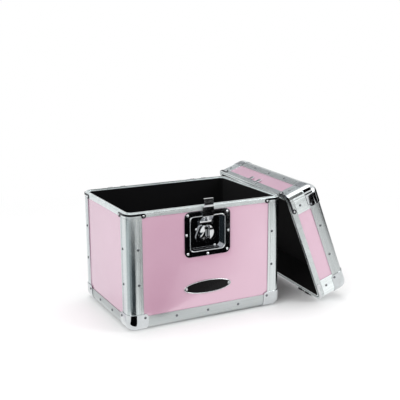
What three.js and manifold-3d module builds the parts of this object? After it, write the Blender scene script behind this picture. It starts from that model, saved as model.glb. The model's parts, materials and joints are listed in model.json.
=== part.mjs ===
// A record carrying case: a laminated box with aluminium edges, a butterfly latch in front and slip hinges
// behind. Its lid has been lifted off and leans against the case's right side.
// Millimetres, +Z up. The front, with the latch, faces -Y. The origin is on the floor, at the middle of the
// footprint of case and lid together.
import * as THREE from "three";
import { RoundedBoxGeometry } from "three/addons/geometries/RoundedBoxGeometry.js";
import { mergeVertices } from "three/addons/utils/BufferGeometryUtils.js";
import Module from "manifold-3d";

// Driving dimensions of case and lid
const caseWidth = 384;
const caseDepth = 278;
const seatHeight = 261; // from the underside of the base edges to the face that the lid sits on
const lidDepth = 80.5;
const edgeRadius = 19; // rounding of every outer edge
const panelThickness = 6;
const wall = 1.5; // of the aluminium extrusions
const fit = 0.3; // gap between pieces that sit against each other
const overrun = 1; // how far a cutting shape runs past what it cuts

// How the lid leans
const lidYaw = THREE.MathUtils.degToRad(4.5);
const leastLean = THREE.MathUtils.degToRad(12); // of a lid too short to reach the case's rim
const lidPastTop = 2.65; // how far its upper edge reaches past the case's top
const lidPastFront = 12; // how far the lid's near wall reaches past the case's front, along the lid

// Extrusions along the edges
const postFlange = 35.5;
const baseFlange = 31;
const innerFlange = 29;
const lidPostFlange = 50;
const lidEdgeFlange = 33;
const grooveFromEdge = 5.5; // the line along a post's flange
const grooveWidth = 1.2;
const grooveDepth = 0.6;

// Rims of case and lid
const rim = {
  caseFlange: 9,
  lidFlange: 12.4,
  seatThickness: 2,
  tongueInset: 3.4,
  tongueWidth: 2.8,
  tongueHeight: 3,
  grooveRoof: 1.6, // metal left over the lid's groove
};

// Rounded corners that cap the base of the case and the top of the lid
const ballCorner = {
  thickness: 1.2,
  reach: 46, // along the edges
  rise: 37, // up the post
  tabRadius: 8,
  underCut: 22, // chamfer across the flat petal
};

// Bright braces round the corners of the rims
const brace = { thickness: 1, height: 4.5, tabReach: 39, tabRadius: 5.5 };

// Linings
const liningThickness = 2.5;
const liningDrop = 1; // from the rim's seat down to the lining's edge

// Oval plate
const oval = { width: 118, height: 31, centreHeight: 76, thickness: 1.4, border: 2, sink: 0.5 };

// Latch: everything is placed from the middle of the dish
const dish = {
  width: 114,
  height: 103,
  belowRim: 1,
  cornerRadius: 13,
  sideFlange: 14.5,
  endFlange: 13,
  recessRadius: 8,
  depth: 12.5,
  sheet: 1.2,
  beadWidth: 1.6,
  beadHeight: 0.5,
  lugWidth: 3,
  lugHeight: 8,
  lugStand: 3.4,
  lugGap: 1, // above the arm's flare
};
const key = {
  radius: 14.5,
  discThickness: 3.7,
  chamfer: 1,
  shaftRadius: 4,
  rivetRadius: 6.5,
  rivetThickness: 1.5,
  camRadius: 8,
  camThrow: 4,
  earThickness: 2.7,
  earWidth: 10.4,
};
const wing = {
  radius: 17,
  thickness: 1.6,
  barrelRadius: 1.7,
  barrelLength: 16,
  hingeOffset: 3.2,
  pinRadius: 0.8,
  boreRadius: 1,
  rootWidth: 7,
  faceRise: 0.4, // of the outer face above the pin's middle
};
const arm = {
  thickness: 2,
  width: 23,
  neckWidth: 28,
  footWidth: 48,
  footDrop: 20,
  footChamfer: 4,
  flareTop: 16,
  flareBottom: -8,
  rampLength: 11.5, // up to the recess's end
  joggleStart: -1.5, // above the seat
  joggleLength: 3.2,
  floorGap: 0.4, // behind the foot, and again in front of it
  slotSlack: 1.2,
  slotCornerRadius: 7,
};

// Keeper on the lid, with the notch that the arm's hook drops into
const keeper = { earWidth: 12, height: 20, thickness: 2.7, fromRim: 2.2, armGap: 1.5, barHeight: 5 };

// Slip hinges: each lid leaf has two knuckles with a pin, which slide sideways into the case leaf's sockets
const hinge = {
  postGap: 2, // from the lid's post to the leaf
  leafHeight: 24,
  sheet: 1.2,
  knuckleRadius: 2.4,
  pinRadius: 1.2,
  pinSlack: 0.3,
  knuckleLength: 13,
  socketLength: 12,
  pitch: 32.6, // from one pin to the next
  joggleRise: 2.2,
};

// Carrying handle on the lid
const handle = {
  baseLength: 150,
  baseWidth: 28,
  baseRadius: 6,
  baseThickness: 1.6,
  earFromEnd: 10.5,
  earThickness: 7.5,
  earRadius: 5.5,
  rodRadius: 3,
  boreSlack: 0.4,
  legGap: 2, // between a leg and the ear beside it
  stubInset: 0.5, // the stub's end inside the ear
  bendRadius: 6,
  reach: 42,
  gripRadius: 9.5,
  gripGap: 4, // from a bend to the grip's end
  foldGap: 1.5, // under the grip when the handle is folded
  ridges: 5,
  ridgeHeight: 0.9,
};

// Facets
const quarter = Math.PI / 2;
const fullTurn = 4 * quarter;
const cornerFacets = 4;
const boxFacets = 3;
const smallFacets = 20;
const pinFacets = 12;
const sweepSteps = 40;
const rodFacets = 6;
const gripFacets = 18;
const keyFacets = 24;
const stepsPerRidge = 4;
const weldTolerance = 1e-4;

// Distances that follow from the sizes above
const slot = panelThickness + 2 * fit;
const innerFace = wall + slot + wall;
const web = edgeRadius + wall;
const panelInset = web + fit;
const laminate = wall + fit; // how far the panels' faces lie behind the trim
const ballStand = ballCorner.thickness + fit; // the case stands on its rounded corners
const recessFloor = laminate - fit - dish.sheet + dish.depth; // behind the trim
const recessWidth = dish.width - 2 * dish.sideFlange;
const recessHeight = dish.height - 2 * dish.endFlange;
const latchHeight = seatHeight - rim.caseFlange - dish.belowRim - dish.height / 2;
const keyStand = arm.thickness + 2 * arm.floorGap; // from the recess floor to the underside of the disc
const knuckleOut = hinge.knuckleRadius + fit;
const leafHalf = (hinge.pitch + hinge.socketLength + fit + hinge.knuckleLength) / 2;
const hingeFromMiddle = caseWidth / 2 - lidPostFlange - hinge.postGap - leafHalf;
const keeperBack = fit;
const earFromMiddle = handle.baseLength / 2 - handle.earFromEnd - handle.earThickness;
const legFromMiddle = earFromMiddle - handle.legGap - handle.rodRadius;
const stubEnd = earFromMiddle + handle.earThickness - handle.stubInset;
const gripLength = 2 * (legFromMiddle - handle.bendRadius - handle.gripGap);

const wasm = await Module();
wasm.setup();

// The solid inside a closed geometry.
function toSolid(geometry) {
  const loose = geometry.index ? geometry.toNonIndexed() : geometry.clone();
  loose.deleteAttribute("normal");
  loose.deleteAttribute("uv");
  const merged = mergeVertices(loose, weldTolerance);
  const corners = merged.index.array;
  const kept = [];
  for (let i = 0; i < corners.length; i += 3) {
    const [a, b, c] = [corners[i], corners[i + 1], corners[i + 2]];
    if (a !== b && b !== c && c !== a) kept.push(a, b, c);
  }
  return new wasm.Manifold(
    new wasm.Mesh({
      numProp: 3,
      vertProperties: merged.getAttribute("position").array,
      triVerts: new Uint32Array(kept),
    }),
  );
}

function toGeometry(solid) {
  const mesh = solid.getMesh();
  const geometry = new THREE.BufferGeometry();
  geometry.setAttribute("position", new THREE.BufferAttribute(new Float32Array(mesh.vertProperties), 3));
  geometry.setIndex(new THREE.BufferAttribute(new Uint32Array(mesh.triVerts), 1));
  geometry.computeVertexNormals();
  return geometry;
}

function join(...geometries) {
  return toGeometry(geometries.map(toSolid).reduce((whole, next) => whole.add(next)));
}

function cut(geometry, ...tools) {
  return toGeometry(tools.map(toSolid).reduce((left, tool) => left.subtract(tool), toSolid(geometry)));
}

function common(first, second) {
  return toGeometry(toSolid(first).intersect(toSolid(second)));
}

// A flat outline made solid between two heights.
function prism(outline, low, high, facets = cornerFacets) {
  const geometry = new THREE.ExtrudeGeometry(outline, {
    depth: high - low,
    bevelEnabled: false,
    curveSegments: facets,
  });
  return geometry.translate(0, 0, low);
}

function block(x, y, z) {
  const geometry = new THREE.BoxGeometry(x[1] - x[0], y[1] - y[0], z[1] - z[0]);
  return geometry.translate((x[0] + x[1]) / 2, (y[0] + y[1]) / 2, (z[0] + z[1]) / 2);
}

// A round bar along X, Y or Z, from one place along its axis to another.
function bar(axis, radius, from, to, facets = smallFacets) {
  const geometry = new THREE.CylinderGeometry(radius, radius, to - from, facets);
  if (axis === "x") geometry.rotateZ(-quarter);
  if (axis === "z") geometry.rotateX(quarter);
  const along = (from + to) / 2;
  return geometry.translate(...["x", "y", "z"].map((way) => (way === axis ? along : 0)));
}

function roundedRectangle(width, height, radius) {
  const x = width / 2 - radius;
  const y = height / 2 - radius;
  const outline = new THREE.Shape();
  [[x, y], [-x, y], [-x, -y], [x, -y]].forEach(([cx, cy], turn) =>
    outline.absarc(cx, cy, radius, turn * quarter, (turn + 1) * quarter, false),
  );
  return outline;
}

function polygon(points) {
  return new THREE.Shape(points.map(([x, y]) => new THREE.Vector2(x, y)));
}

// Points on one side, and the same points mirrored, as one outline.
function mirroredPolygon(points) {
  return polygon([...points, ...points.map(([x, y]) => [-x, y]).reverse()]);
}

// The section of a sheet of even thickness bent along a line of points.
function bentSheet(points, thickness) {
  const line = points.map(([x, y]) => new THREE.Vector2(x, y));
  const normals = line.slice(1).map((point, i) => {
    const along = point.clone().sub(line[i]).normalize();
    return new THREE.Vector2(-along.y, along.x);
  });
  const offset = (side) =>
    line.map((point, i) => {
      const before = normals[Math.max(i - 1, 0)];
      const after = normals[Math.min(i, normals.length - 1)];
      const mitre = before.clone().add(after).normalize();
      return point.clone().addScaledVector(mitre, (side * thickness) / 2 / mitre.dot(after));
    });
  return new THREE.Shape([...offset(1), ...offset(-1).reverse()]);
}

// A section drawn in x and y, made solid across x: its own x becomes y and its own y becomes z.
function acrossX(section, from, to) {
  const y = new THREE.Vector3(0, 1, 0);
  const z = new THREE.Vector3(0, 0, 1);
  const x = new THREE.Vector3(1, 0, 0);
  return prism(section, from, to).applyMatrix4(new THREE.Matrix4().makeBasis(y, z, x));
}

// The case's plan, taken in from the trim's face, and a plate and a ring of that shape.
function plan(inset) {
  return roundedRectangle(caseWidth - 2 * inset, caseDepth - 2 * inset, edgeRadius - inset);
}

function planPlate(inset, low, high) {
  return prism(plan(inset), low, high);
}

function planRing(outer, inner, low, high) {
  const outline = plan(outer);
  outline.holes.push(plan(inner));
  return prism(outline, low, high);
}

function named(name, geometry, finish) {
  const mesh = new THREE.Mesh(geometry, new THREE.MeshStandardMaterial(finish));
  mesh.name = name;
  return mesh;
}

const laminateFinish = { color: 0xe3bdd0, roughness: 0.25, metalness: 0 };
const aluminiumFinish = { color: 0xc9cdd0, roughness: 0.4, metalness: 0.9 };
const chromeFinish = { color: 0xdfe2e4, roughness: 0.12, metalness: 1 };
const plateFinish = { color: 0x17161a, roughness: 0.3, metalness: 0.2 };
const liningFinish = { color: 0x101012, roughness: 0.95, metalness: 0 };
const rubberFinish = { color: 0x1b1b1d, roughness: 0.75, metalness: 0 };

// Case and lid share their plan. A side's own frame has x along the side, y up and z out from the trim.
const sideNames = ["front", "right", "back", "left"];
const cornerNames = ["front_left", "front_right", "back_right", "back_left"];

function sideLength(turns) {
  return turns % 2 ? caseDepth : caseWidth;
}

function sideFrame(turns) {
  const turned = new THREE.Group();
  turned.rotation.z = turns * quarter;
  const upright = new THREE.Group();
  upright.rotation.x = quarter;
  upright.position.y = -sideLength(turns + 1) / 2;
  turned.add(upright);
  return { group: turned, put: (...meshes) => upright.add(...meshes) };
}

// A corner's own frame has its origin at the sharp corner of the trim, with x and y along the two sides.
function cornerFrame(turns, height, upsideDown = false) {
  const group = new THREE.Group();
  const right = turns === 1 || turns === 2;
  const back = turns >= 2;
  group.position.set(((right ? 1 : -1) * caseWidth) / 2, ((back ? 1 : -1) * caseDepth) / 2, height);
  group.rotation.z = turns * quarter;
  const inside = new THREE.Group();
  if (upsideDown) inside.quaternion.setFromAxisAngle(new THREE.Vector3(1, 1, 0).normalize(), Math.PI);
  group.add(inside);
  return { group, put: (...meshes) => inside.add(...meshes) };
}

// The edge extrusion's section: a rounded hollow corner, two flanges outside and two inside, and a slot for
// each panel.
function edgeSection(flangeX, flangeY, grooved) {
  const outer = wall + slot;
  const outline = new THREE.Shape();
  const groove = (flange, point) => {
    const near = flange - grooveFromEdge;
    const far = near - grooveWidth;
    return [point(near, 0), point(near, grooveDepth), point(far, grooveDepth), point(far, 0)];
  };
  const alongX = (along, deep) => [along, deep];
  const alongY = (along, deep) => [deep, along];
  outline.moveTo(flangeX, 0);
  if (grooved) groove(flangeX, alongX).forEach((point) => outline.lineTo(...point));
  outline.lineTo(edgeRadius, 0);
  outline.absarc(edgeRadius, edgeRadius, edgeRadius, -quarter, -2 * quarter, true);
  if (grooved) groove(flangeY, alongY).reverse().forEach((point) => outline.lineTo(...point));
  outline.lineTo(0, flangeY);
  [
    [wall, flangeY],
    [wall, web],
    [outer, web],
    [outer, innerFlange],
    [innerFace, innerFlange],
    [innerFace, innerFace],
    [innerFlange, innerFace],
    [innerFlange, outer],
    [web, outer],
    [web, wall],
    [flangeX, wall],
  ].forEach((point) => outline.lineTo(...point));
  const hollow = new THREE.Path();
  hollow.moveTo(edgeRadius, wall);
  [[edgeRadius, outer], [outer, outer], [outer, edgeRadius], [wall, edgeRadius]].forEach((point) =>
    hollow.lineTo(...point),
  );
  hollow.absarc(edgeRadius, edgeRadius, edgeRadius - wall, 2 * quarter, 3 * quarter, false);
  outline.holes.push(hollow);
  return outline;
}

function post(name, low, high, flange, grooved) {
  const extrusion = prism(edgeSection(flange, flange, grooved), low, high);
  return named(name, toGeometry(toSolid(extrusion)), aluminiumFinish);
}

// An edge extrusion along a side. Front and back ones run into the rounded corners, and side ones stop
// against them.
function sideEdge(name, turns, flange) {
  const inset = turns % 2 ? flange + fit : edgeRadius + fit;
  const half = sideLength(turns) / 2 - inset;
  const geometry = prism(edgeSection(flange, flange, false), -half, half).rotateY(quarter);
  return named(name, toGeometry(toSolid(geometry)), aluminiumFinish);
}

function sidePanel(name, turns, low, high, ...holes) {
  const half = sideLength(turns) / 2 - panelInset;
  const sheet = block([-half, half], [low, high], [-laminate - panelThickness, -laminate]);
  return named(name, holes.length ? cut(sheet, ...holes) : sheet, laminateFinish);
}

function flatPanel(name, low) {
  const x = caseWidth / 2 - panelInset;
  const y = caseDepth / 2 - panelInset;
  return named(name, block([-x, x], [-y, y], [low, low + panelThickness]), laminateFinish);
}

// A pressed cap over the place where three rounded edges meet.
function ballCornerGeometry() {
  const size = 2 * (ballCorner.reach + edgeRadius);
  const rounded = (stand) => {
    const side = size + 2 * stand;
    const box = new RoundedBoxGeometry(side, side, side, boxFacets, edgeRadius + stand);
    return box.translate(size / 2, size / 2, size / 2);
  };
  const shell = cut(rounded(ballStand), rounded(fit));
  const { reach, rise, tabRadius, underCut } = ballCorner;
  const low = -ballStand - overrun;
  const upright = new THREE.Shape();
  upright.moveTo(low, low);
  upright.lineTo(reach, low);
  upright.absarc(reach - tabRadius, rise - tabRadius, tabRadius, 0, quarter, false);
  upright.lineTo(low, rise);
  const flat = polygon([[low, low], [reach, low], [reach, underCut], [underCut, reach], [low, reach]]);
  const deep = edgeRadius / 2;
  const front = prism(upright, -deep, -low).rotateX(quarter);
  const side = acrossX(upright, low, deep);
  const under = prism(flat, low, deep);
  return common(shell, join(front, side, under));
}

// A bright band round the rim's corner, with a round tab at each end. Its upper edge is at height 0.
function braceGeometry() {
  const { thickness, height, tabReach, tabRadius } = brace;
  const near = fit;
  const far = fit + thickness;
  const band = new THREE.Shape();
  band.moveTo(tabReach, -far);
  band.absarc(edgeRadius, edgeRadius, edgeRadius + far, -quarter, -2 * quarter, true);
  band.lineTo(-far, tabReach);
  band.lineTo(-near, tabReach);
  band.absarc(edgeRadius, edgeRadius, edgeRadius + near, 2 * quarter, 3 * quarter, false);
  band.lineTo(tabReach, -near);
  const alongX = bar("y", tabRadius, -far, -near).translate(tabReach, 0, -tabRadius);
  const alongY = bar("x", tabRadius, -far, -near).translate(0, tabReach, -tabRadius);
  return join(prism(band, -height, 0), alongX, alongY);
}

// The case
const box = new THREE.Group();
box.position.z = ballStand;
const caseSides = sideNames.map((name, turns) => sideFrame(turns));
caseSides.forEach((side) => box.add(side.group));
const [caseFront, , caseBack] = caseSides;

const panelTop = seatHeight - rim.seatThickness - fit;
const panWidth = recessWidth + 2 * dish.sheet;
const panHeight = recessHeight + 2 * dish.sheet;
const panRadius = dish.recessRadius + dish.sheet;
const dishHole = prism(
  roundedRectangle(panWidth + 2 * fit, panHeight + 2 * fit, panRadius + fit),
  -laminate - panelThickness - overrun,
  -laminate + overrun,
).translate(0, latchHeight, 0);

sideNames.forEach((side, turns) => {
  const holes = side === "front" ? [dishHole] : [];
  caseSides[turns].put(
    sidePanel(side + "_panel", turns, panelInset, panelTop, ...holes),
    sideEdge("base_edge_" + side, turns, baseFlange),
  );
});
box.add(flatPanel("bottom_panel", laminate));

const ballCap = ballCornerGeometry();
const rimBrace = braceGeometry();
cornerNames.forEach((corner, turns) => {
  const base = cornerFrame(turns, 0);
  base.put(
    post("corner_post_" + corner, baseFlange + fit, seatHeight - rim.caseFlange - fit, postFlange, true),
    named("base_corner_" + corner, ballCap, aluminiumFinish),
  );
  const top = cornerFrame(turns, seatHeight - fit / 2);
  top.put(named("rim_brace_" + corner, rimBrace, chromeFinish));
  box.add(base.group, top.group);
});

const tongueEnd = rim.tongueInset + rim.tongueWidth;
const caseRim = join(
  planRing(0, wall, seatHeight - rim.caseFlange, seatHeight),
  planRing(0, innerFace, seatHeight - rim.seatThickness, seatHeight),
  planRing(innerFace - wall, innerFace, seatHeight - rim.caseFlange, seatHeight),
  planRing(rim.tongueInset, tongueEnd, seatHeight - fit, seatHeight + rim.tongueHeight),
);
box.add(named("case_rim", caseRim, aluminiumFinish));

// The lining: a tray, with a pocket over the back of the latch
const liningInset = innerFace + fit;
const hollowInset = liningInset + liningThickness;
const liningTop = seatHeight - liningDrop;
const caseTray = cut(
  planPlate(liningInset, liningInset, liningTop),
  planPlate(hollowInset, hollowInset, liningTop + overrun),
);
const pocketDepth = recessFloor + dish.sheet + fit + key.rivetThickness + fit;
const pocketHalfWidth = panWidth / 2 + fit;
const pocketHalfHeight = panHeight / 2 + fit;
const frontFace = -caseDepth / 2;
const pad = block(
  [-pocketHalfWidth - liningThickness, pocketHalfWidth + liningThickness],
  [frontFace + liningInset, frontFace + pocketDepth + liningThickness],
  [latchHeight - pocketHalfHeight - liningThickness, latchHeight + pocketHalfHeight + liningThickness],
);
const pocket = block(
  [-pocketHalfWidth, pocketHalfWidth],
  [frontFace + liningInset - overrun, frontFace + pocketDepth],
  [latchHeight - pocketHalfHeight, latchHeight + pocketHalfHeight],
);
const caseLining = cut(join(caseTray, pad), pocket);
box.add(named("case_lining", caseLining, liningFinish));

// The oval plate: a raised border round a sunk face
function ellipse(width, height) {
  return new THREE.Shape().absellipse(0, 0, width / 2, height / 2, 0, fullTurn, false, 0);
}
const plateBack = -laminate + fit;
const plateFace = plateBack + oval.thickness;
const plate = cut(
  prism(ellipse(oval.width, oval.height), plateBack, plateFace, smallFacets),
  prism(
    ellipse(oval.width - 2 * oval.border, oval.height - 2 * oval.border),
    plateFace - oval.sink,
    plateFace + overrun,
    smallFacets,
  ),
);
caseFront.put(named("oval_plate", plate.translate(0, oval.centreHeight, 0), plateFinish));

// The latch dish: a pressed pan with a flat flange, a bead round the recess and two lugs that guide the arm
const latch = new THREE.Group();
latch.position.y = latchHeight;
caseFront.put(latch);
const flangeFace = -laminate + fit + dish.sheet;
const floorFace = -recessFloor;
const lugStart = arm.flareTop + dish.lugGap;
const lug = (side) => {
  const inner = side * (arm.neckWidth / 2 + 2 * fit);
  const outer = inner + side * dish.lugWidth;
  return block(
    [Math.min(inner, outer), Math.max(inner, outer)],
    [lugStart, lugStart + dish.lugHeight],
    [floorFace - dish.sheet / 2, floorFace + dish.lugStand],
  );
};
const dishBody = join(
  prism(roundedRectangle(dish.width, dish.height, dish.cornerRadius), flangeFace - dish.sheet, flangeFace),
  prism(roundedRectangle(panWidth, panHeight, panRadius), floorFace - dish.sheet, flangeFace),
  prism(
    roundedRectangle(
      recessWidth + 2 * dish.beadWidth,
      recessHeight + 2 * dish.beadWidth,
      dish.recessRadius + dish.beadWidth,
    ),
    flangeFace - dish.sheet,
    flangeFace + dish.beadHeight,
  ),
);
const recess = prism(
  roundedRectangle(recessWidth, recessHeight, dish.recessRadius),
  floorFace,
  flangeFace + overrun,
);
const shaftHole = bar("z", key.shaftRadius + fit, floorFace - dish.sheet - overrun, floorFace + overrun);
const latchDish = cut(join(cut(dishBody, recess), lug(-1), lug(1)), shaftHole);
latch.add(named("latch_dish", latchDish, chromeFinish));

// The arm: a bent strip that ends in a hook above and in a yoke round the key's cam below. It passes over
// the dish's bead and the keeper, and its hook stands above the keeper's bar by the cam's whole throw.
const seatOverLatch = seatHeight - latchHeight;
const faceGap = flangeFace + dish.beadHeight + 2 * fit;
const hookGap = keeperBack + keeper.thickness + 2 * fit;
const footLine = floorFace + arm.floorGap + arm.thickness / 2;
const faceLine = faceGap + arm.thickness / 2;
const hookLine = hookGap + arm.thickness / 2;
const barTop = seatOverLatch + keeper.fromRim + keeper.barHeight;
const armTop = barTop + fit + 2 * key.camThrow + arm.thickness;
const armSection = bentSheet(
  [
    [-arm.footDrop - overrun, footLine],
    [recessHeight / 2 - arm.rampLength, footLine],
    [recessHeight / 2, faceLine],
    [seatOverLatch + arm.joggleStart, faceLine],
    [seatOverLatch + arm.joggleStart + arm.joggleLength, hookLine],
    [armTop - arm.thickness / 2, hookLine],
    [armTop - arm.thickness / 2, faceGap],
  ],
  arm.thickness,
);
const armWide = acrossX(armSection, -arm.footWidth, arm.footWidth);
const armOutline = mirroredPolygon([
  [arm.footWidth / 2 - arm.footChamfer, -arm.footDrop],
  [arm.footWidth / 2, -arm.footDrop + arm.footChamfer],
  [arm.footWidth / 2, arm.flareBottom],
  [arm.neckWidth / 2, arm.flareTop],
  [arm.neckWidth / 2, seatOverLatch],
  [arm.width / 2, seatOverLatch + arm.joggleStart],
  [arm.width / 2, armTop + overrun],
]);
const camSlot = prism(
  roundedRectangle(
    2 * (key.camRadius + key.camThrow + 2 * fit),
    2 * (key.camRadius + arm.slotSlack),
    arm.slotCornerRadius,
  ),
  floorFace,
  floorFace + keyStand,
).translate(0, key.camThrow, 0);
const armBlank = common(armWide, prism(armOutline, floorFace, hookLine + arm.thickness));
latch.add(named("latch_arm", cut(armBlank, camSlot), chromeFinish));

// The key: a shaft riveted behind the dish, an eccentric cam, a disc, and ears that hold the two wing pins
const discBack = floorFace + keyStand;
const discFace = discBack + key.discThickness;
const rivetFace = floorFace - dish.sheet - fit;
const turned = new THREE.LatheGeometry(
  [
    [0, rivetFace - key.rivetThickness],
    [key.rivetRadius, rivetFace - key.rivetThickness],
    [key.rivetRadius, rivetFace],
    [key.shaftRadius, rivetFace],
    [key.shaftRadius, discBack],
    [key.radius, discBack],
    [key.radius, discFace - key.chamfer],
    [key.radius - key.chamfer, discFace],
    [0, discFace],
  ].map(([r, height]) => new THREE.Vector2(r, height)),
  keyFacets,
).rotateX(quarter);
const cam = bar("z", key.camRadius, floorFace + fit, discBack + overrun / 2, keyFacets).translate(
  0,
  key.camThrow,
  0,
);
const wingAxis = discFace + fit + wing.barrelRadius;
const earStart = wing.barrelLength / 2 + fit;
const ear = (side) => {
  const far = side * (earStart + key.earThickness);
  const near = side * earStart;
  const y = [Math.min(near, far), Math.max(near, far)];
  const half = key.earWidth / 2;
  return block([-half, half], y, [discFace - overrun / 2, wingAxis + wing.barrelRadius]);
};
const wingPin = (side) => {
  const pin = bar("y", wing.pinRadius, -earStart - fit, earStart + fit, pinFacets);
  return pin.translate(side * wing.hingeOffset, 0, wingAxis);
};
const latchKey = join(turned, cam, ear(-1), ear(1), wingPin(-1), wingPin(1));
latch.add(named("latch_key", latchKey, chromeFinish));

// A wing: a half moon on a hollow barrel. The left one is the right one, turned half round.
const wingOutline = new THREE.Shape();
const rootAngle = Math.acos(wing.rootWidth / wing.radius);
const rootHeight = wing.radius * Math.sin(rootAngle);
wingOutline.moveTo(wing.hingeOffset, -wing.barrelLength / 2);
wingOutline.lineTo(wing.rootWidth, -wing.barrelLength / 2);
wingOutline.lineTo(wing.rootWidth, -rootHeight);
wingOutline.absarc(0, 0, wing.radius, -rootAngle, rootAngle, false);
wingOutline.lineTo(wing.rootWidth, rootHeight);
wingOutline.lineTo(wing.rootWidth, wing.barrelLength / 2);
wingOutline.lineTo(wing.hingeOffset, wing.barrelLength / 2);
const wingFace = wingAxis + wing.faceRise;
const barrel = (radius, length) =>
  bar("y", radius, -length / 2, length / 2, pinFacets).translate(wing.hingeOffset, 0, wingAxis);
const wingGeometry = cut(
  join(
    prism(wingOutline, wingFace - wing.thickness, wingFace, smallFacets),
    barrel(wing.barrelRadius, wing.barrelLength),
  ),
  barrel(wing.boreRadius, wing.barrelLength + 2 * overrun),
);
const leftWing = named("latch_wing_left", wingGeometry, chromeFinish);
leftWing.rotation.z = 2 * quarter;
latch.add(named("latch_wing_right", wingGeometry, chromeFinish), leftWing);

// Slip hinge leaves, in a side's frame with the seat at height 0. The case's leaf hangs down and holds the
// sockets.
function leafSheet(flange) {
  const low = -laminate + fit + hinge.sheet / 2;
  const high = fit + hinge.sheet / 2;
  const bend = flange + hinge.sheet / 2;
  const section = bentSheet(
    [
      [-hinge.leafHeight, low],
      [-bend - hinge.joggleRise, low],
      [-bend, high],
      [-hinge.knuckleRadius - fit, high],
    ],
    hinge.sheet,
  );
  return acrossX(section, -leafHalf, leafHalf);
}
function knuckle(from, to) {
  const neck = block([from, to], [-hinge.knuckleRadius - 2 * fit, 0], [fit, fit + hinge.sheet]);
  return join(bar("x", hinge.knuckleRadius, from, to, pinFacets).translate(0, 0, knuckleOut), neck);
}
const socketStarts = [-leafHalf, -leafHalf + hinge.pitch];
const knuckleStart = hinge.socketLength + fit; // beyond the socket's start, where the pin's tip lies
const sockets = socketStarts.map((start) => knuckle(start, start + hinge.socketLength));
const boreRadius = hinge.pinRadius + hinge.pinSlack;
const leafBore = bar("x", boreRadius, -leafHalf - overrun, leafHalf + overrun, pinFacets);
const caseLeaf = cut(join(leafSheet(rim.caseFlange), ...sockets), leafBore.translate(0, 0, knuckleOut));
const pinnedKnuckles = socketStarts.flatMap((start) => [
  knuckle(start + knuckleStart, start + knuckleStart + hinge.knuckleLength),
  bar("x", hinge.pinRadius, start, start + knuckleStart + overrun, pinFacets).translate(0, 0, knuckleOut),
]);
const lidLeaf = join(leafSheet(rim.lidFlange), ...pinnedKnuckles);
[["right", -1], ["left", 1]].forEach(([side, way]) => {
  const leaf = named("case_hinge_" + side, caseLeaf, chromeFinish);
  leaf.position.set(way * hingeFromMiddle, seatHeight, 0);
  caseBack.put(leaf);
});

// The lid, in its own frame: its rim's seat is at height 0 and its top at the lid's depth
const lid = new THREE.Group();
const lidSides = sideNames.map((name, turns) => sideFrame(turns));
lidSides.forEach((side) => lid.add(side.group));
const [lidFront, , lidBack] = lidSides;
const lidPostTop = lidDepth - lidEdgeFlange - fit;
const lidPanelLow = rim.tongueHeight + fit + rim.grooveRoof + fit;

sideNames.forEach((side, turns) => {
  const edge = sideEdge("lid_edge_" + side, turns, lidEdgeFlange);
  edge.rotation.z = 2 * quarter;
  edge.position.y = lidDepth;
  lidSides[turns].put(sidePanel("lid_" + side + "_panel", turns, lidPanelLow, lidDepth - panelInset), edge);
});
lid.add(flatPanel("lid_top_panel", lidDepth - laminate - panelThickness));

cornerNames.forEach((corner, turns) => {
  const top = cornerFrame(turns, lidDepth, true);
  top.put(named("lid_corner_" + corner, ballCap, aluminiumFinish));
  const side = cornerFrame(turns, 0);
  side.put(post("lid_post_" + corner, rim.lidFlange + fit, lidPostTop, lidPostFlange, false));
  const low = cornerFrame(turns, fit / 2, true);
  low.put(named("lid_brace_" + corner, rimBrace, chromeFinish));
  lid.add(top.group, side.group, low.group);
});

const lidRim = cut(
  join(
    planRing(0, wall, 0, rim.lidFlange),
    planRing(0, innerFace, 0, lidPanelLow - fit),
    planRing(innerFace - wall, innerFace, 0, rim.lidFlange),
  ),
  planRing(rim.tongueInset - fit, tongueEnd + fit, -overrun, rim.tongueHeight + fit),
);
lid.add(named("lid_rim", lidRim, aluminiumFinish));

const lidLining = cut(
  planPlate(liningInset, liningDrop, lidDepth - liningInset),
  planPlate(hollowInset, liningDrop - overrun, lidDepth - hollowInset),
);
lid.add(named("lid_lining", lidLining, liningFinish));

// The keeper: a bar that the hook bears on, between two ears
const notchHalf = arm.width / 2 + keeper.armGap;
const keeperHalf = notchHalf + keeper.earWidth;
const keeperBody = block(
  [-keeperHalf, keeperHalf],
  [keeper.fromRim, keeper.fromRim + keeper.height],
  [keeperBack, keeperBack + keeper.thickness],
);
const keeperNotch = block(
  [-notchHalf, notchHalf],
  [keeper.fromRim + keeper.barHeight, keeper.fromRim + keeper.height + overrun],
  [keeperBack - overrun, keeperBack + keeper.thickness + overrun],
);
lidFront.put(named("lid_keeper", cut(keeperBody, keeperNotch), chromeFinish));

[["right", -1], ["left", 1]].forEach(([side, way]) => {
  const leaf = named("lid_hinge_" + side, lidLeaf, chromeFinish);
  leaf.scale.y = -1;
  leaf.position.x = way * hingeFromMiddle;
  lidBack.put(leaf);
});

// The handle on the lid's top panel: a base plate with two ears, a bail that folds flat both ways, and its
// grip
const panelFace = lidDepth - laminate;
const axisHeight = panelFace + handle.foldGap + handle.gripRadius;
const handleEar = (side) => {
  const near = side * earFromMiddle;
  const far = near + side * handle.earThickness;
  const [from, to] = [Math.min(near, far), Math.max(near, far)];
  return join(
    block([from, to], [-handle.earRadius, handle.earRadius], [panelFace + fit, axisHeight]),
    bar("x", handle.earRadius, from, to).translate(0, 0, axisHeight),
  );
};
const handleBase = cut(
  join(
    prism(
      roundedRectangle(handle.baseLength, handle.baseWidth, handle.baseRadius),
      panelFace + fit,
      panelFace + fit + handle.baseThickness,
    ),
    handleEar(-1),
    handleEar(1),
  ),
  bar("x", handle.rodRadius + handle.boreSlack, -handle.baseLength, handle.baseLength, pinFacets).translate(
    0,
    0,
    axisHeight,
  ),
);
lid.add(named("handle_base", handleBase, chromeFinish));

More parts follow.
